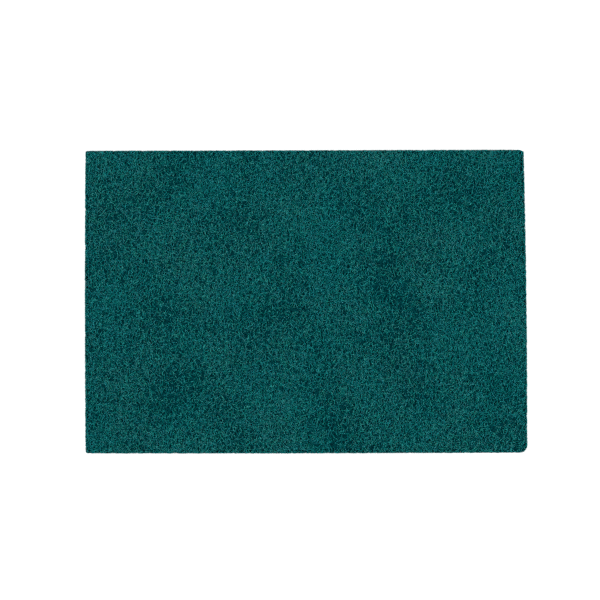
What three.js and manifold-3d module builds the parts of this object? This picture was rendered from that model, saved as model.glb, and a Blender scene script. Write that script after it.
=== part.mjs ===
// A rectangular floor sanding pad: one thick sheet of nonwoven abrasive fibre web, lying flat.
// Millimetres. X runs along the long side, Y across it and Z up through the thickness.
// The origin is the middle of the underside.

import * as THREE from "three";
import { ImprovedNoise } from "three/addons/math/ImprovedNoise.js";
import { mergeVertices } from "three/addons/utils/BufferGeometryUtils.js";
import Module from "manifold-3d";

// Overall sizes of the sheet
const LENGTH = 452;
const WIDTH = 310;
const THICKNESS = 10;

// The sheet was sheared a little out of square: its far edge is shorter at the right end,
// and each cut bows or slants by a millimetre or so.
const RIGHT_END_SHORT = 3.8;
const LEFT_END_SHORT = 0.65;
const NEAR_LEFT_SHORT = 0.75;
const FAR_SLANT = 1.1;
const NEAR_SLANT = 0.8;
const NEAR_BOW = 0.4;
const RIGHT_BOW = 1;
const LEFT_BOW = 0.7;

// How far each corner's round runs along its two edges. The near right one is rounded by the
// cutter and the left-hand pair is nearly sharp. At the far right the cutter left the edge on a
// slant, so that round runs far along the far edge and only a little way down the right end.
const NEAR_LEFT_ROUND = 2.8;
const NEAR_RIGHT_ROUND = 7.8;
const FAR_RIGHT_ROUND = 2.6;
const FAR_RIGHT_SLANT = 10;
const FAR_LEFT_ROUND = 2.2;

// The cut arrises are pressed round by the blade.
const ARRIS = 0.7;
const ARRIS_STEPS = 3;
const CORNER_STEPS = 5;

// Rollers level both faces of the web, so its high places share one plane. Between them it dips
// where the fibre is thin: broad soft clouds, and small pits between the tufts. The dips die out
// towards the cut, where the blade has pressed the web to an even rim.
const CLOUD_SIZE = 26;
const CLOUD_DEPTH = 1.3;
const PIT_SIZE = 7.3;
const PIT_DEPTH = 1.7;
const LEVELLED = 0.18;
const WEB_PITCH = 8.5;
const UPPER_LAYER = 4.5;
const LOWER_LAYER = 8.5;
const EVEN_RIM = 6;
const FULL_DIPS = 22;

// How far the loose web runs past the cut and the levelled planes
const OVERRUN = 1;

const wasm = await Module();
wasm.setup();

const fiberNoise = new ImprovedNoise();

// How far the loose web stands proud of the levelled plane at a point of one face, or, where it is
// thin, falls short of it. Each face has its own layer of the noise.
function loft(x, y, layer) {
  const fromCut = Math.min(LENGTH / 2 - Math.abs(x), WIDTH / 2 - Math.abs(y));
  const uneven = THREE.MathUtils.smoothstep(fromCut, EVEN_RIM, FULL_DIPS);
  const cloud = fiberNoise.noise(x / CLOUD_SIZE, y / CLOUD_SIZE, layer);
  const pit = fiberNoise.noise(x / PIT_SIZE, y / PIT_SIZE, layer);
  const tufts = LEVELLED - CLOUD_DEPTH * cloud - PIT_DEPTH * pit;
  return THREE.MathUtils.lerp(OVERRUN, tufts, uneven);
}

// The four corners of the cut outline, anticlockwise from the near left. round is how far the
// corner's round runs back along the edge before it, and onward how far along the edge after it.
// bow is how far that edge bulges outwards at its middle.
function cornersOfOutline() {
  const right = LENGTH / 2;
  const far = WIDTH / 2;
  const nearLeft = new THREE.Vector2(-right + NEAR_LEFT_SHORT, -far);
  const nearRight = new THREE.Vector2(right, -far + NEAR_SLANT);
  const farRight = new THREE.Vector2(right - RIGHT_END_SHORT, far);
  const farLeft = new THREE.Vector2(-right + LEFT_END_SHORT, far - FAR_SLANT);
  return [
    { at: nearLeft, round: NEAR_LEFT_ROUND, onward: NEAR_LEFT_ROUND, bow: NEAR_BOW },
    { at: nearRight, round: NEAR_RIGHT_ROUND, onward: NEAR_RIGHT_ROUND, bow: RIGHT_BOW },
    { at: farRight, round: FAR_RIGHT_ROUND, onward: FAR_RIGHT_SLANT, bow: 0 },
    { at: farLeft, round: FAR_LEFT_ROUND, onward: FAR_LEFT_ROUND, bow: LEFT_BOW },
  ];
}

// The outline as one closed path: each edge a shallow curve or a line, each corner a soft round.
function outlineOfSheet() {
  const corners = cornersOfOutline();
  const shape = new THREE.Shape();
  corners.forEach((corner, i) => {
    const before = corners[(i + 3) % 4].at;
    const next = corners[(i + 1) % 4];
    const inward = before.clone().sub(corner.at).setLength(corner.round).add(corner.at);
    const outward = next.at.clone().sub(corner.at).setLength(corner.onward).add(corner.at);
    const edgeEnd = corner.at.clone().sub(next.at).setLength(next.round).add(next.at);
    const along = edgeEnd.clone().sub(outward).normalize();
    const bulge = outward.clone().add(edgeEnd).multiplyScalar(0.5);
    bulge.add(new THREE.Vector2(along.y, -along.x).multiplyScalar(2 * corner.bow));
    if (i === 0) shape.moveTo(inward.x, inward.y);
    shape.quadraticCurveTo(corner.at.x, corner.at.y, outward.x, outward.y);
    if (corner.bow) shape.quadraticCurveTo(bulge.x, bulge.y, edgeEnd.x, edgeEnd.y);
    else shape.lineTo(edgeEnd.x, edgeEnd.y);
  });
  return shape;
}

// A closed three.js geometry as a solid that can be cut
function solidFrom(geometry) {
  const bare = geometry.clone();
  bare.deleteAttribute("normal");
  bare.deleteAttribute("uv");
  const merged = mergeVertices(bare);
  const vertProperties = new Float32Array(merged.getAttribute("position").array);
  const triVerts = new Uint32Array(merged.getIndex().array);
  return new wasm.Manifold(new wasm.Mesh({ numProp: 3, vertProperties, triVerts }));
}

// A cut solid back as a three.js geometry
function geometryFrom(solid) {
  const cut = solid.getMesh();
  const geometry = new THREE.BufferGeometry();
  geometry.setAttribute("position", new THREE.BufferAttribute(cut.vertProperties, 3));
  geometry.setIndex(new THREE.BufferAttribute(cut.triVerts, 1));
  geometry.computeVertexNormals();
  return geometry;
}

// The levelled and sheared blank: the outline carried through the thickness between two flat
// faces, with both arrises rounded
function shearedBlank() {
  const blank = new THREE.ExtrudeGeometry(outlineOfSheet(), {
    depth: THICKNESS - 2 * ARRIS,
    curveSegments: CORNER_STEPS,
    bevelEnabled: true,
    bevelThickness: ARRIS,
    bevelSize: ARRIS,
    bevelOffset: -ARRIS,
    bevelSegments: ARRIS_STEPS,
  });
  return blank.translate(0, 0, ARRIS);
}

// The loose web: a slab whose two faces rise and fall with the fibre
function fiberWeb() {
  const length = LENGTH + 2 * OVERRUN;
  const width = WIDTH + 2 * OVERRUN;
  const cellsAlong = Math.round(length / WEB_PITCH);
  const cellsAcross = Math.round(width / WEB_PITCH);
  const web = new THREE.BoxGeometry(length, width, THICKNESS, cellsAlong, cellsAcross, 1);
  const points = web.getAttribute("position");
  for (let i = 0; i < points.count; i++) {
    const x = points.getX(i);
    const y = points.getY(i);
    const upper = points.getZ(i) > 0;
    points.setZ(i, upper ? THICKNESS + loft(x, y, UPPER_LAYER) : -loft(x, y, LOWER_LAYER));
  }
  return web;
}

function sandingPad() {
  const cut = solidFrom(shearedBlank()).intersect(solidFrom(fiberWeb()));
  const material = new THREE.MeshStandardMaterial({ color: 0x0c4b4c, roughness: 0.85, metalness: 0 });
  const mesh = new THREE.Mesh(geometryFrom(cut), material);
  mesh.name = "fiber_pad";
  return mesh;
}

const part = new THREE.Group();
part.add(sandingPad());

export default part;
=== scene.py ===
"""A floor sanding pad: a rectangle of dark teal nonwoven abrasive web, lying flat, seen from above.

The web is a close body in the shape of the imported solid. Curled, resin-coated fibres lie open over
its two faces and in its cut wall. Metres.
"""

import math

import bpy
import numpy as np
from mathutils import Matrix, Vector, noise
from mathutils.bvhtree import BVHTree


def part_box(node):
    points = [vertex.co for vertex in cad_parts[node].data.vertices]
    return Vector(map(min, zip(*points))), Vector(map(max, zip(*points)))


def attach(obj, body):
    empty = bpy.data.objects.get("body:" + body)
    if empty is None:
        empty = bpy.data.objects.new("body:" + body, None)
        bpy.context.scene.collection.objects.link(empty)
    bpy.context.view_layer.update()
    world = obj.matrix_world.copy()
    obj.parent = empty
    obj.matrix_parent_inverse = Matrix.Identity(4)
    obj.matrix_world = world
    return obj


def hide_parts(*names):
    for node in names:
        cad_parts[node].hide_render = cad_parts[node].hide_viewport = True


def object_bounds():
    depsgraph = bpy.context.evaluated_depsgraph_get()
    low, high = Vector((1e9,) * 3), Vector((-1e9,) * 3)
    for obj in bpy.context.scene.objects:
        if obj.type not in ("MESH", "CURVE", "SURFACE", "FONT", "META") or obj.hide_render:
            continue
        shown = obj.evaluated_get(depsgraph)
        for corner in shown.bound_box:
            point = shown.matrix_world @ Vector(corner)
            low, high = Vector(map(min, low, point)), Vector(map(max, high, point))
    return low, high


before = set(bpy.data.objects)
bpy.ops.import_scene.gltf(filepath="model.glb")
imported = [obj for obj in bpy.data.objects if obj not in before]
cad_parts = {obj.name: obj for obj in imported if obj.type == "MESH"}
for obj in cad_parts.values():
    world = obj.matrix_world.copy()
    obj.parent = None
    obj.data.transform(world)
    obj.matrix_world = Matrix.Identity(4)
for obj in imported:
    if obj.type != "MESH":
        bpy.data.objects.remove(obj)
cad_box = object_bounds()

MM = 0.001
PAD = "fiber_pad"
SEED = 18

# The fibres: their width across the resin coat, its spread and its limits, one straight step of
# the curl, the radius that they curl to, and how much of its turn a fibre keeps for the next step
FIBER_WIDTH = 0.48 * MM
WIDTH_SPREAD = 0.17
THINNEST = 0.6
THICKEST = 1.5
STEP = 2.3 * MM
CURL_RADIUS = 3.2 * MM
CURL_HOLDS = 0.25

# The web is drawn out a little across the sheet as it is laid.
DRAW = (0.91, 1.02)

# Each fibre shows as an arc: it rises out of the web, wanders at its own depth under the levelled
# face, and dives back in at both ends.
ARC_STEPS = 3
OPEN_DEPTH = 1.8 * MM
DEPTH_WANDER = 0.3 * MM
DEPTH_HOLDS = 0.6
DIVE = 1.4 * MM
FLOOR_GAP = 0.06 * MM

# The close body: how far it is drawn in under the upper face, over the lower face and behind the
# cut, and the lumps in its skin
BODY_VOXEL = 3.4 * MM
BODY_UNDER_UPPER = 2.6 * MM
BODY_OVER_LOWER = 0.7 * MM
BODY_IN_EDGE = 0.7 * MM
BODY_LUMPS = 0.9 * MM
LUMP_SIZE = 5.0 * MM
SAME_CORNER = 0.01 * MM

# How many fibres the upper face gets in each of its layers, and how many the underside gets
FACE_LAYERS = 4
FIBERS_PER_LAYER = 9900
UNDER_FIBERS = 2600
UNDER_STEP = 3.9 * MM

# The fibres of the cut wall run level, or a little aslant, and stand back at its arrises.
EDGE_FIBERS = 3400
EDGE_STEPS = 5
EDGE_DEPTH = 0.5 * MM
EDGE_SLANT = 0.35
EDGE_RISE = 0.7
ARRIS = 0.7 * MM
ARRIS_SET_IN = 0.45 * MM
NEAR_ARRIS = 0.05 * MM

# A fibre that the cut ends keeps at least this share of its last step.
LEAST_SHARE = 0.05

# The web was laid thicker in some places than in others, in soft clouds. More places are scattered
# than there are fibres, and most of those left empty are where it is thin.
CLOUD_SIZE = 60 * MM
CLOUD_LAYER = 0
SPARE_PLACES = 1.25
THINNING = 0.5

# Soft clouds of redder fibre, from another layer of the same noise
TINT_SIZE = 45 * MM
TINT_LAYER = 7.7

# The noise of both: how fast its finer octaves fade, how much finer each is, and how many there are
OCTAVE_FADE = 1
OCTAVE_RATIO = 2.5
OCTAVES = 2

# The palette that the fibres wear. Each fibre lies along one row of it, dark rows below and pale
# ones above, with its ridge in the upper part of the row and its flanks in the lower part, so that
# the ridge is painted lighter, as light, and the flanks darker, as shade.
ROWS = 64
ROW_END = 0.02
CAP_WIDTH = 0.01
CROWN = 0.8
FLANK = 0.2
OTHER_FLANK = 0.26

# What settles a fibre's row. ROW_SPREAD is how much of the palette its depth and chance take up,
# and the number after it is the depth's part in that: deeper fibres get darker rows, as painted
# shade.
# The row is lower, as painted shade, where the face dips more than it usually does, and higher where
# the web is thick. Odd rows are redder than even ones.
ROW_SPREAD = 0.4
DEPTH_SHADE_TELLS = 0.6
DIP_SHADE_TELLS = 0.2
USUAL_DIP = 0.4
DEEPEST_DIP = 1.5 * MM
CLOUD_TELLS = 0.1
TINT_TELLS = 0.7

# The photograph's frame: its middle and the pad's middle in its pixels, and one pixel's size
PHOTO_MIDDLE_PX = 300.0
PAD_MIDDLE_PX = (306.1, 301.55)
MM_PER_PX = 1.0204
FRAME_PX = 600
LENS = 100.0
SENSOR = 36.0


def pick(piece):
    """Makes a piece the only selected and active one."""
    bpy.ops.object.select_all(action="DESELECT")
    piece.select_set(True)
    bpy.context.view_layer.objects.active = piece


class PackedShape:
    """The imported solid's two faces and its cut outline, read from the frame."""

    PITCH = 2.0 * MM
    LAST_CELL = 1.001

    def __init__(self, node):
        mesh = node.data
        self.low, self.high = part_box(node.name)
        corners = np.array([v.co for v in mesh.vertices])
        faces = [tuple(p.vertices) for p in mesh.polygons]
        self.tree = BVHTree.FromPolygons([Vector(c) for c in corners], faces)
        self.outline = self.read_outline(corners)
        self.read_faces()

    def read_outline(self, corners):
        """The widest rings of the cut wall, where its arrises start, as one anticlockwise ring."""
        middle = (self.low.z + self.high.z) / 2
        wall_reach = (self.high.z - self.low.z) / 2 - ARRIS
        widest = np.abs(np.abs(corners[:, 2] - middle) - wall_reach) < NEAR_ARRIS
        to_the_micrometre = np.round(corners[widest][:, :2], 6)
        return convex_ring(np.unique(to_the_micrometre, axis=0))

    def read_faces(self):
        """Both faces' heights, on an even grid."""
        self.xs = np.arange(self.low.x, self.high.x + self.PITCH, self.PITCH)
        self.ys = np.arange(self.low.y, self.high.y + self.PITCH, self.PITCH)
        self.upper = np.full((len(self.xs), len(self.ys)), self.high.z)
        self.lower = np.full((len(self.xs), len(self.ys)), self.low.z)
        for i, x in enumerate(self.xs):
            for j, y in enumerate(self.ys):
                hit = self.tree.ray_cast(Vector((x, y, 1)), Vector((0, 0, -1)))[0]
                if hit is not None:
                    self.upper[i, j] = hit.z
                hit = self.tree.ray_cast(Vector((x, y, -1)), Vector((0, 0, 1)))[0]
                if hit is not None:
                    self.lower[i, j] = hit.z

    def height(self, table, x, y):
        """Bilinear reading of one face's height."""
        u = np.clip((x - self.xs[0]) / self.PITCH, 0, len(self.xs) - self.LAST_CELL)
        v = np.clip((y - self.ys[0]) / self.PITCH, 0, len(self.ys) - self.LAST_CELL)
        i = u.astype(int)
        j = v.astype(int)
        a = u - i
        b = v - j
        low = table[i, j] * (1 - a) + table[i + 1, j] * a
        high = table[i, j + 1] * (1 - a) + table[i + 1, j + 1] * a
        return low * (1 - b) + high * b

    def inside(self, points):
        """How far each point (..., 2) lies inside the cut. Negative is outside."""
        start = self.outline
        along = np.roll(start, -1, axis=0) - start
        along /= np.linalg.norm(along, axis=1)[:, None]
        inward = np.stack([-along[:, 1], along[:, 0]], 1)
        best = np.full(points.shape[:-1], np.inf)
        for s, n in zip(start, inward):
            best = np.minimum(best, (points - s) @ n)
        return best


def convex_ring(points):
    """The convex hull of points in the plane, anticlockwise."""
    points = points[np.lexsort((points[:, 1], points[:, 0]))]
    straight = 1e-12

    def half(run):
        ring = []
        for p in run:
            while len(ring) > 1:
                a = ring[-1] - ring[-2]
                b = p - ring[-1]
                if a[0] * b[1] - a[1] * b[0] > straight:
                    break
                ring.pop()
            ring.append(p)
        return ring[:-1]

    return np.array(half(points) + half(points[::-1]))


def even_scatter(rng, count):
    """count pairs in the unit square, spread evenly but in no pattern, and a level for each."""
    even_ratio = 1.3247179572
    stride = even_ratio ** -np.arange(1.0, 3.0)
    pairs = rng.uniform(0, 1, 2) + np.arange(count)[:, None] * stride
    pairs += rng.uniform(-0.5, 0.5, (count, 2)) / math.sqrt(count)
    level = (rng.permutation(count) + 0.5) / count
    return pairs % 1, level


def drifting(rng, count, steps, holds):
    """count smooth random runs of standard size, each value keeping a share of the one before."""
    runs = np.empty((count, steps))
    runs[:, 0] = rng.normal(size=count)
    for k in range(1, steps):
        runs[:, k] = holds * runs[:, k - 1] + math.sqrt(1 - holds * holds) * rng.normal(size=count)
    return runs


def clouds(places, size, layer):
    """A soft random field about zero, read at places in the plane."""
    spots = [Vector((x / size, y / size, layer)) for x, y in places]
    return np.array([noise.fractal(spot, OCTAVE_FADE, OCTAVE_RATIO, OCTAVES) for spot in spots])


def curled_paths(rng, heading, points, step):
    """The plane paths of curled fibres that cross the origin halfway, as (count, points, 2)."""
    count = len(heading)
    turn = drifting(rng, count, points, CURL_HOLDS) * step / CURL_RADIUS
    heading = heading[:, None] + np.cumsum(turn, axis=1)
    move = np.stack([np.cos(heading), np.sin(heading)], 2) * step
    path = np.cumsum(move, axis=1)
    return path - path[:, points // 2][:, None]


def arc_depth(rng, level, points, reach):
    """How deep each point of an arc lies: its own level, a slow wander, and a dive at both ends."""
    share = np.linspace(-1, 1, points)
    wander = DEPTH_WANDER * drifting(rng, len(level), points, DEPTH_HOLDS)
    return np.maximum(level[:, None] * reach + wander, 0) + DIVE * np.abs(share) ** 3


def fiber_widths(rng, count):
    """A width for each fibre."""
    return FIBER_WIDTH * np.clip(rng.normal(1, WIDTH_SPREAD, count), THINNEST, THICKEST)


def cut_at_edge(shape, path):
    """The stretches of each path that lie inside the cut, each ending on it, and whose they are."""
    clear = shape.inside(path[:, :, :2])
    for n in range(len(path)):
        within = clear[n] > 0
        if within.all():
            yield path[n], n
            continue
        k = 0
        while k < len(within):
            if not within[k]:
                k += 1
                continue
            first = k
            while k < len(within) and within[k]:
                k += 1
            run = list(path[n, first:k])
            if first > 0:
                run.insert(0, crossing(path[n], clear[n], first, first - 1))
            if k < len(within):
                run.append(crossing(path[n], clear[n], k - 1, k))
            if len(run) > 1:
                yield np.array(run), n


def crossing(path, clear, inner, outer):
    """Where a path crosses the cut between two of its points."""
    share = clear[inner] / (clear[inner] - clear[outer])
    return path[inner] + (path[outer] - path[inner]) * max(share, LEAST_SHARE)


def tube_mesh(name, runs, outwards, widths, rows):
    """One mesh of closed three-sided tubes. outwards gives each run's ridge direction."""
    points = np.concatenate(runs)
    lengths = np.array([len(r) for r in runs])
    first = np.concatenate([[0], np.cumsum(lengths)[:-1]])
    owner = np.repeat(np.arange(len(runs)), lengths)
    order = np.arange(len(points))
    place = order - first[owner]
    last = place == lengths[owner] - 1
    along = points[np.where(last, order, order + 1)] - points[np.where(place == 0, order, order - 1)]
    along /= np.linalg.norm(along, axis=1)[:, None]
    side = np.cross(along, np.concatenate(outwards))
    side /= np.linalg.norm(side, axis=1)[:, None]
    ridge = np.cross(side, along)
    radius = (widths[owner] / math.sqrt(3))[:, None]
    ring = np.empty((len(points), 3, 3))
    for k in range(3):
        angle = math.radians(90 + 120 * k)
        ring[:, k] = points + radius * (side * math.cos(angle) + ridge * math.sin(angle))
    starts = np.flatnonzero(~last) * 3
    quads = []
    for k in range(3):
        m = (k + 1) % 3
        quads.append(np.stack([starts + k, starts + m, starts + 3 + m, starts + 3 + k], 1))
    quads = np.concatenate(quads)
    heads = np.flatnonzero(place == 0) * 3
    tails = np.flatnonzero(last) * 3
    head_caps = np.stack([heads + 2, heads + 1, heads], 1)
    tail_caps = np.stack([tails, tails + 1, tails + 2], 1)
    caps = np.concatenate([head_caps, tail_caps])
    mesh = bpy.data.meshes.new(name)
    mesh.from_pydata(ring.reshape(-1, 3).tolist(), [], quads.tolist() + caps.tolist())
    piece = bpy.data.objects.new(name, mesh)
    bpy.context.scene.collection.objects.link(piece)
    mesh.shade_smooth()
    share = place / np.maximum(lengths[owner] - 1, 1)
    wear_palette(mesh, np.repeat(share, 3), np.repeat(rows[owner], 3), len(quads))
    return piece


def wear_palette(mesh, share, row, quad_count):
    """Lays every fibre along its row of the palette."""
    loops = np.empty(len(mesh.loops), np.int32)
    mesh.loops.foreach_get("vertex_index", loops)
    u = ROW_END + (1 - 2 * ROW_END) * share[loops]
    v = (row[loops] + np.array([CROWN, FLANK, OTHER_FLANK])[loops % 3]) / ROWS
    cap_count = (len(loops) - quad_count * 4) // 3
    u[quad_count * 4:] += np.tile([0, 0, CAP_WIDTH], cap_count)
    layer = mesh.uv_layers.new(name="OFBake")
    layer.uv.foreach_set("vector", np.stack([u, v], 1).astype(np.float32).ravel())


def palette_rows(rng, level, dip=USUAL_DIP, cloud=0, tint=0):
    """Each fibre's row from its depth, the face's dip, two kinds of cloud and chance; depth and dip
    paint shade.
    """
    # Deeper fibres get darker rows, and so do those where the face dips: painted shade.
    mixed = DEPTH_SHADE_TELLS * (1 - level) + (1 - DEPTH_SHADE_TELLS) * rng.uniform(0, 1, len(level))
    place = 0.5 + ROW_SPREAD * (mixed - 0.5) - DIP_SHADE_TELLS * (dip - USUAL_DIP) + CLOUD_TELLS * cloud
    pair = np.clip(place * ROWS / 2, 0, ROWS / 2 - 1).astype(int)
    redder = rng.uniform(0, 1, len(level)) < 0.5 + TINT_TELLS * tint
    return 2 * pair + redder


def face_fibers(name, shape, rng, count, step, upper):
    """Curled fibres over one face, cut off at the outline."""
    spread, level = even_scatter(rng, round(count * SPARE_PLACES))
    low = np.array(shape.low[:2]) - step
    high = np.array(shape.high[:2]) + step
    middle = low + (high - low) * spread
    cloud = clouds(middle, CLOUD_SIZE, CLOUD_LAYER)
    thickest = np.argsort(THINNING * cloud + rng.uniform(0, 1, len(cloud)))[-count:]
    middle = middle[thickest]
    level = level[thickest]
    cloud = cloud[thickest]
    tint = clouds(middle, TINT_SIZE, TINT_LAYER)
    points = ARC_STEPS + 1
    path = curled_paths(rng, rng.uniform(0, 2 * math.pi, count), points, step)
    path = path * DRAW + middle[:, None]
    widths = fiber_widths(rng, count)
    depth = arc_depth(rng, level, points, OPEN_DEPTH) + widths[:, None] / math.sqrt(3)
    surface = shape.height(shape.upper if upper else shape.lower, path[:, :, 0], path[:, :, 1])
    dip = np.abs(surface - (shape.high.z if upper else shape.low.z)).mean(axis=1) / DEEPEST_DIP
    z = surface - depth if upper else surface + depth + FLOOR_GAP
    path = np.concatenate([path, z[:, :, None]], 2)
    runs = []
    kept = []
    for run, n in cut_at_edge(shape, path):
        runs.append(run)
        kept.append(n)
    outward = np.array([0, 0, 1.0 if upper else -1.0])
    outwards = [np.tile(outward, (len(run), 1)) for run in runs]
    rows = palette_rows(rng, level, dip, cloud, tint)
    return tube_mesh(name, runs, outwards, widths[kept], rows[kept])


def edge_fibers(name, shape, rng, count):
    """Fibres in the cut wall, running mostly level as the layers of the web do."""
    ring = shape.outline
    ahead = np.roll(ring, -1, axis=0)
    spans = np.linalg.norm(ahead - ring, axis=1)
    around = np.concatenate([[0], np.cumsum(spans)])
    spread, level = even_scatter(rng, count)
    points = EDGE_STEPS + 1
    heading = rng.choice([0, math.pi], count) + rng.normal(0, EDGE_SLANT, count)
    path = curled_paths(rng, heading, points, STEP)
    widths = fiber_widths(rng, count)
    radius = widths[:, None] / math.sqrt(3)
    lowest = shape.low.z + FLOOR_GAP + radius
    highest = shape.high.z - radius
    z = shape.low.z + (shape.high.z - shape.low.z) * spread[:, 1:2] + EDGE_RISE * path[:, :, 1]
    z = folded(z, lowest, highest)
    s = (spread[:, :1] * around[-1] + path[:, :, 0]) % around[-1]
    span = np.clip(np.searchsorted(around, s, side="right") - 1, 0, len(ring) - 1)
    share = (s - around[span]) / spans[span]
    at = ring[span] * (1 - share[:, :, None]) + ahead[span] * share[:, :, None]
    along = (ahead - ring) / spans[:, None]
    outward = np.stack([along[:, 1], -along[:, 0]], 1)[span]
    from_face = np.minimum(z - lowest, highest - z)
    rounding = ARRIS_SET_IN * np.maximum(1 - from_face / ARRIS, 0)
    depth = arc_depth(rng, level, points, EDGE_DEPTH) + rounding
    at = at - outward * depth[:, :, None]
    path = np.concatenate([at, z[:, :, None]], 2)
    outwards = np.concatenate([outward, np.zeros((count, points, 1))], 2)
    return tube_mesh(name, list(path), list(outwards), widths, palette_rows(rng, level))


def folded(values, lowest, highest):
    """Values that run past a limit turn back from it."""
    span = highest - lowest
    turned = np.abs((values - lowest) % (2 * span) - span)
    return highest - turned


def close_body(shape):
    """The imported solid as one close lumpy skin, drawn in under the open fibres."""
    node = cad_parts[PAD]
    body = node.copy()
    body.data = node.data.copy()
    for key in list(body.keys()):
        del body[key]
    body.parent = None
    body.name = "fiber_web"
    body.data.name = "fiber_web"
    body.data.materials.clear()
    bpy.context.scene.collection.objects.link(body)
    pick(body)
    bpy.ops.object.mode_set(mode="EDIT")
    bpy.ops.mesh.select_all(action="SELECT")
    bpy.ops.mesh.remove_doubles(threshold=SAME_CORNER)
    bpy.ops.mesh.normals_make_consistent(inside=False)
    bpy.ops.object.mode_set(mode="OBJECT")
    remesh = body.modifiers.new("close_skin", "REMESH")
    remesh.mode = "VOXEL"
    remesh.voxel_size = BODY_VOXEL
    bpy.ops.object.modifier_apply(modifier=remesh.name)
    draw_in(shape)
    lumps = bpy.data.textures.new("lumps", "CLOUDS")
    lumps.noise_scale = LUMP_SIZE
    lumps.noise_depth = 1
    swell = body.modifiers.new("swell", "DISPLACE")
    swell.texture = lumps
    swell.texture_coords = "LOCAL"
    swell.mid_level = 0.5
    swell.strength = BODY_LUMPS
    bpy.ops.object.modifier_apply(modifier=swell.name)
    body.data.shade_smooth()
    return body


def draw_in(shape):
    """Shrinks the picked body so that its faces and cut wall lie under the open fibres."""
    size = shape.high - shape.low
    shift = (BODY_OVER_LOWER - BODY_UNDER_UPPER) / 2
    middle = (shape.low + shape.high) / 2
    middle.z += shift
    bpy.ops.object.mode_set(mode="EDIT")
    bpy.ops.mesh.select_all(action="SELECT")
    bpy.ops.transform.translate(value=(0, 0, shift))
    bpy.ops.transform.resize(
        value=(
            1 - 2 * BODY_IN_EDGE / size.x,
            1 - 2 * BODY_IN_EDGE / size.y,
            1 - (BODY_OVER_LOWER + BODY_UNDER_UPPER) / size.z,
        ),
        center_override=middle,
    )
    bpy.ops.object.mode_set(mode="OBJECT")


class Nodes:
    """A material's node tree, with short ways to add and join its nodes."""

    def __init__(self, name):
        self.material = bpy.data.materials.new(name)
        self.material.use_nodes = True
        self.tree = self.material.node_tree
        self.shader = self.tree.nodes["Principled BSDF"]

    def add(self, kind, **values):
        node = self.tree.nodes.new("ShaderNode" + kind)
        for key, value in values.items():
            setattr(node, key, value)
        return node

    def join(self, source, target):
        self.tree.links.new(source, target)

    def math(self, operation, source, number=0):
        """A Math node on one source and one plain number."""
        node = self.add("Math", operation=operation)
        self.join(source, node.inputs[0])
        node.inputs[1].default_value = number
        return node.outputs[0]

    def both(self, kind, operation, first, second):
        """A Math or VectorMath node on two sources."""
        node = self.add(kind, operation=operation)
        self.join(first, node.inputs[0])
        self.join(second, node.inputs[1])
        return node.outputs[0]

    def remap(self, source, old_range, new_range):
        """A range of the source's values carried over to another one, and held at its ends."""
        node = self.add("MapRange")
        self.join(source, node.inputs["Value"])
        node.inputs["From Min"].default_value = old_range[0]
        node.inputs["From Max"].default_value = old_range[1]
        node.inputs["To Min"].default_value = new_range[0]
        node.inputs["To Max"].default_value = new_range[1]
        return node.outputs[0]

    def noise(self, place, scale, detail):
        node = self.add("TexNoise")
        node.inputs["Scale"].default_value = scale
        node.inputs["Detail"].default_value = detail
        self.join(place, node.inputs["Vector"])
        return node

    def ramp(self, source, stops):
        """Colours blended from stop to stop along the source."""
        node = self.add("ValToRGB")
        self.join(source, node.inputs["Fac"])
        band = node.color_ramp
        while len(band.elements) < len(stops):
            band.elements.new(0.5)
        for element, (at, colour) in zip(band.elements, stops):
            element.position = at
            element.color = (*colour, 1)
        return node.outputs["Color"]


# Linear colours of the close web, dark with its dye and with painted shade, and of the dyed and
# resin-coated fibre, from dark fibre in painted shade through its own teals to a painted sheen and
# glint
HOLLOW_SHADE = (0.0, 0.006, 0.010)
BODY_TEAL_IN_SHADE = (0.0, 0.045, 0.052)
BLACK_FIBER = (0.0, 0.012, 0.018)
DARK_FIBER = (0.0, 0.030, 0.037)
MID_FIBER = (0.0, 0.158, 0.161)
LIGHT_FIBER = (0.0, 0.262, 0.256)
PALE_FIBER_AND_SHEEN = (0.021, 0.390, 0.374)
PAINTED_GLINT = (0.110, 0.530, 0.500)

# How bluish or greenish the dye of a row may be, and how much redder odd rows are
BLUER = (1.2, 0.91, 1.085)
GREENER = (0.8, 1.06, 0.915)
PAIR_TINT = 0.3

# Where a row starts on the run from dark to pale fibre, by its height in the palette, how far the
# ridge is painted up that run, as light, and the flanks down it, as shade, and how far the resin
# coat swings along the fibre, partly in painted glints and shade
LOW_ROW = 0.30
HIGH_ROW = 0.54
CROWN_LIGHT_FLANK_SHADE = 0.4
COAT_AND_GLINT_SWING = 0.45

# The mottle of the coat, partly its own patches and partly painted glints and shade: how many
# patches lie along a fibre, how far apart the rows read the noise, and the range that most of its
# values fall in
COAT_PATCHES = 6
ROWS_APART = 7.3
COAT_DETAIL = 2
USUAL_NOISE = (0.3, 0.7)
COAT_ROUGHNESS = (0.45, 0.65)
GLOSS = 0.005

# The close web: strands finer than the open fibres, bent by noise, with hollows between them painted
# darker as shade
STRAND_SCALE = 650
BEND_SCALE = 260
BEND_DETAIL = 2
BEND = 4 * MM
STRAND_SIDE = 0.12
HOLLOW = 0.24
DEEP_IN_HOLLOW = 0.3
WEB_ROUGHNESS = (0.6, 0.85)
RELIEF = 0.9
RELIEF_DEPTH = 0.5 * MM


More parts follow.
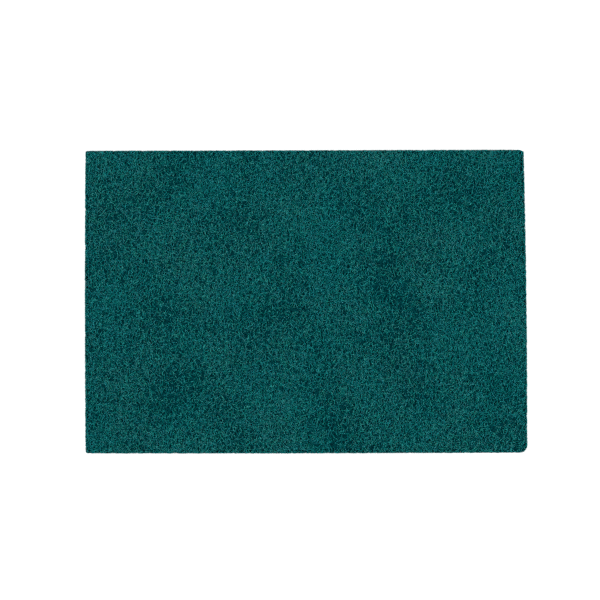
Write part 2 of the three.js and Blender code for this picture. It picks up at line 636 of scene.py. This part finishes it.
def fiber_material():
    """Resin-coated fibre: each palette row's own teal, mottled along it, with painted light, shade
    and glints.
    """
    made = Nodes("coated_fiber")
    place = made.add("UVMap", uv_map="OFBake").outputs["UV"]
    split = made.add("SeparateXYZ")
    made.join(place, split.inputs["Vector"])
    height = made.math("MULTIPLY", split.outputs["Y"], ROWS)
    row = made.math("FLOOR", height)
    across = made.math("FRACT", height)
    lane = made.add("CombineXYZ")
    made.join(split.outputs["X"], lane.inputs["X"])
    made.join(row, lane.inputs["Y"])
    stretch = made.add("Mapping")
    stretch.inputs["Scale"].default_value = (COAT_PATCHES, ROWS_APART, 1)
    made.join(lane.outputs[0], stretch.inputs["Vector"])
    mottle = made.noise(stretch.outputs[0], 1, COAT_DETAIL).outputs["Fac"]
    start = made.remap(row, (0, ROWS - 1), (LOW_ROW, HIGH_ROW))
    # The ridge is painted lighter and the flanks darker: painted light and shade across the fibre.
    crown_light_and_shade = made.remap(across, (FLANK, CROWN), (-CROWN_LIGHT_FLANK_SHADE, CROWN_LIGHT_FLANK_SHADE))
    # The coat's patches along the fibre, which also paint glints and shade.
    swing = made.remap(mottle, USUAL_NOISE, (-COAT_AND_GLINT_SWING, COAT_AND_GLINT_SWING))
    lightness = made.both("Math", "ADD", made.both("Math", "ADD", start, crown_light_and_shade), swing)
    # The ramp's dark end is mostly painted shade of flanks and deep fibres, its pale end painted
    # sheen and glint.
    coat = made.ramp(lightness, [
        (0.0, BLACK_FIBER),
        (0.19, DARK_FIBER),
        (0.41, MID_FIBER),
        (0.62, LIGHT_FIBER),
        (0.81, PALE_FIBER_AND_SHEEN),
        (1.0, PAINTED_GLINT),
    ])
    chance = made.add("TexWhiteNoise", noise_dimensions="1D")
    made.join(row, chance.inputs["W"])
    dye = made.ramp(chance.outputs["Value"], [
        (0.0, BLUER),
        (0.5, (1, 1, 1)),
        (1.0, GREENER),
    ])
    odd = made.math("FLOORED_MODULO", row, 2)
    tint = made.add("CombineXYZ")
    made.join(made.remap(odd, (0, 1), (1 - PAIR_TINT, 1 + PAIR_TINT)), tint.inputs["X"])
    tint.inputs["Y"].default_value = 1
    tint.inputs["Z"].default_value = 1
    dyed = made.both("VectorMath", "MULTIPLY", coat, dye)
    tinted = made.both("VectorMath", "MULTIPLY", dyed, tint.outputs[0])
    made.join(tinted, made.shader.inputs["Base Color"])
    made.join(made.remap(mottle, USUAL_NOISE, COAT_ROUGHNESS), made.shader.inputs["Roughness"])
    made.shader.inputs["Specular IOR Level"].default_value = GLOSS
    return made.material


def body_material():
    """The close web under the open fibres: finer crossing strands in painted shade, darkest in the
    hollows.
    """
    made = Nodes("close_web")
    place = made.add("TexCoord").outputs["Object"]
    bend = made.add("VectorMath", operation="MULTIPLY_ADD")
    made.join(made.noise(place, BEND_SCALE, BEND_DETAIL).outputs["Color"], bend.inputs[0])
    bend.inputs[1].default_value = (BEND, BEND, BEND)
    made.join(place, bend.inputs[2])
    strands = made.add("TexVoronoi", feature="DISTANCE_TO_EDGE")
    strands.inputs["Scale"].default_value = STRAND_SCALE
    made.join(bend.outputs[0], strands.inputs["Vector"])
    away = strands.outputs["Distance"]
    # The strands are painted dark teal and the hollows darker still: painted shade deep in the web.
    web = made.ramp(away, [
        (0.0, BODY_TEAL_IN_SHADE),
        (STRAND_SIDE, BODY_TEAL_IN_SHADE),
        (HOLLOW, HOLLOW_SHADE),
    ])
    made.join(web, made.shader.inputs["Base Color"])
    roughness = made.remap(away, (0, DEEP_IN_HOLLOW), WEB_ROUGHNESS)
    made.join(roughness, made.shader.inputs["Roughness"])
    made.shader.inputs["Specular IOR Level"].default_value = GLOSS
    relief = made.add("Bump")
    relief.invert = True
    relief.inputs["Strength"].default_value = RELIEF
    relief.inputs["Distance"].default_value = RELIEF_DEPTH
    made.join(away, relief.inputs["Height"])
    made.join(relief.outputs[0], made.shader.inputs["Normal"])
    return made.material


def dress(piece, material):
    """Gives a piece its material, and lets it ride in the pad's place."""
    piece.data.materials.clear()
    piece.data.materials.append(material)
    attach(piece, "root")
    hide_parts(PAD)


def build_pad():
    """The close web, then the fibres of the upper face in layers, the underside and the cut wall."""
    shape = PackedShape(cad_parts[PAD])
    rng = np.random.default_rng(SEED)
    body = close_body(shape)
    dress(body, body_material())
    coated = fiber_material()
    for layer in range(FACE_LAYERS):
        name = f"face_fibers_{layer + 1}"
        dress(face_fibers(name, shape, rng, FIBERS_PER_LAYER, STEP, upper=True), coated)
    dress(face_fibers("underside_fibers", shape, rng, UNDER_FIBERS, UNDER_STEP, upper=False), coated)
    dress(edge_fibers("edge_fibers", shape, rng, EDGE_FIBERS), coated)


# Plain light, in watts for each lamp: a white card facing up would render about white.
WORLD_LIGHT = 0.2
LAMP_WATTS = 18.0
LAMP_SIZE = 0.6
LEFT_LAMP_PLACE = (-1.2, 0.1, 1.3)
RIGHT_LAMP_PLACE = (1.2, -0.1, 1.3)

# The floor, and how much it is lifted to white where it is seen: near the pad and far from it, and
# the two distances between which the one passes into the other
FLOOR_SIDE = 12
FLOOR_WHITE = 0.8
FLOOR_ROUGHNESS = 0.9
NEAR_LIFT = 0.5
FAR_LIFT = 1.0
NEAR_REACH = 0.7
FAR_REACH = 1.8


def seen_directly(made):
    """1 where the camera, a reflection or clear glass looks at a surface, 0 for light that falls."""
    path = made.add("LightPath")
    seen = path.outputs["Is Camera Ray"]
    for kind in ("Is Glossy Ray", "Is Transmission Ray"):
        seen = made.both("Math", "MAXIMUM", seen, path.outputs[kind])
    return seen


def white_floor():
    """A wide matt floor, lifted to white where it is seen."""
    bpy.ops.mesh.primitive_plane_add(size=FLOOR_SIDE, location=(0, 0, 0))
    floor = bpy.context.active_object
    floor.name = "floor"
    made = Nodes("white_floor")
    made.shader.inputs["Base Color"].default_value = (FLOOR_WHITE, FLOOR_WHITE, FLOOR_WHITE, 1)
    made.shader.inputs["Roughness"].default_value = FLOOR_ROUGHNESS
    made.shader.inputs["Specular IOR Level"].default_value = 0
    made.shader.inputs["Emission Color"].default_value = (1, 1, 1, 1)
    away = made.add("VectorMath", operation="LENGTH")
    made.join(made.add("TexCoord").outputs["Object"], away.inputs[0])
    lift = made.remap(away.outputs["Value"], (NEAR_REACH, FAR_REACH), (NEAR_LIFT, FAR_LIFT))
    seen_lift = made.both("Math", "MULTIPLY", lift, seen_directly(made))
    made.join(seen_lift, made.shader.inputs["Emission Strength"])
    floor.data.materials.append(made.material)


class WorldNodes(Nodes):
    """The world's node tree."""

    def __init__(self, name):
        world = bpy.data.worlds.new(name)
        bpy.context.scene.world = world
        world.use_nodes = True
        self.tree = world.node_tree
        self.background = self.tree.nodes["Background"]


def white_world():
    """Faint even light from all round, which is plain white where it is seen."""
    made = WorldNodes("studio")
    made.background.inputs["Color"].default_value = (1, 1, 1, 1)
    strength = made.remap(seen_directly(made), (0, 1), (WORLD_LIGHT, 1))
    made.join(strength, made.background.inputs["Strength"])


def soft_lamp(name, place):
    """A round soft lamp that looks at the middle of the pad."""
    lamp = bpy.data.lights.new(name, "AREA")
    lamp.shape = "DISK"
    lamp.size = LAMP_SIZE
    lamp.energy = LAMP_WATTS
    holder = bpy.data.objects.new(name, lamp)
    bpy.context.scene.collection.objects.link(holder)
    holder.location = place
    holder.rotation_euler = (-Vector(place)).to_track_quat("-Z", "Y").to_euler()


def camera():
    """Straight above the pad, with the photograph's framing."""
    data = bpy.data.cameras.new("camera")
    data.lens = LENS
    data.sensor_width = SENSOR
    eye = bpy.data.objects.new("camera", data)
    bpy.context.scene.collection.objects.link(eye)
    top = cad_box[1][2]
    distance = FRAME_PX * MM_PER_PX * MM * LENS / SENSOR
    x = (PHOTO_MIDDLE_PX - PAD_MIDDLE_PX[0]) * MM_PER_PX * MM
    y = (PAD_MIDDLE_PX[1] - PHOTO_MIDDLE_PX) * MM_PER_PX * MM
    eye.location = (x, y, top + distance)
    bpy.context.scene.camera = eye


camera()
build_pad()
white_floor()
white_world()
soft_lamp("left_lamp", LEFT_LAMP_PLACE)
soft_lamp("right_lamp", RIGHT_LAMP_PLACE)
bpy.context.scene.view_settings.view_transform = "Standard"
bpy.context.scene.cycles.use_denoising = False
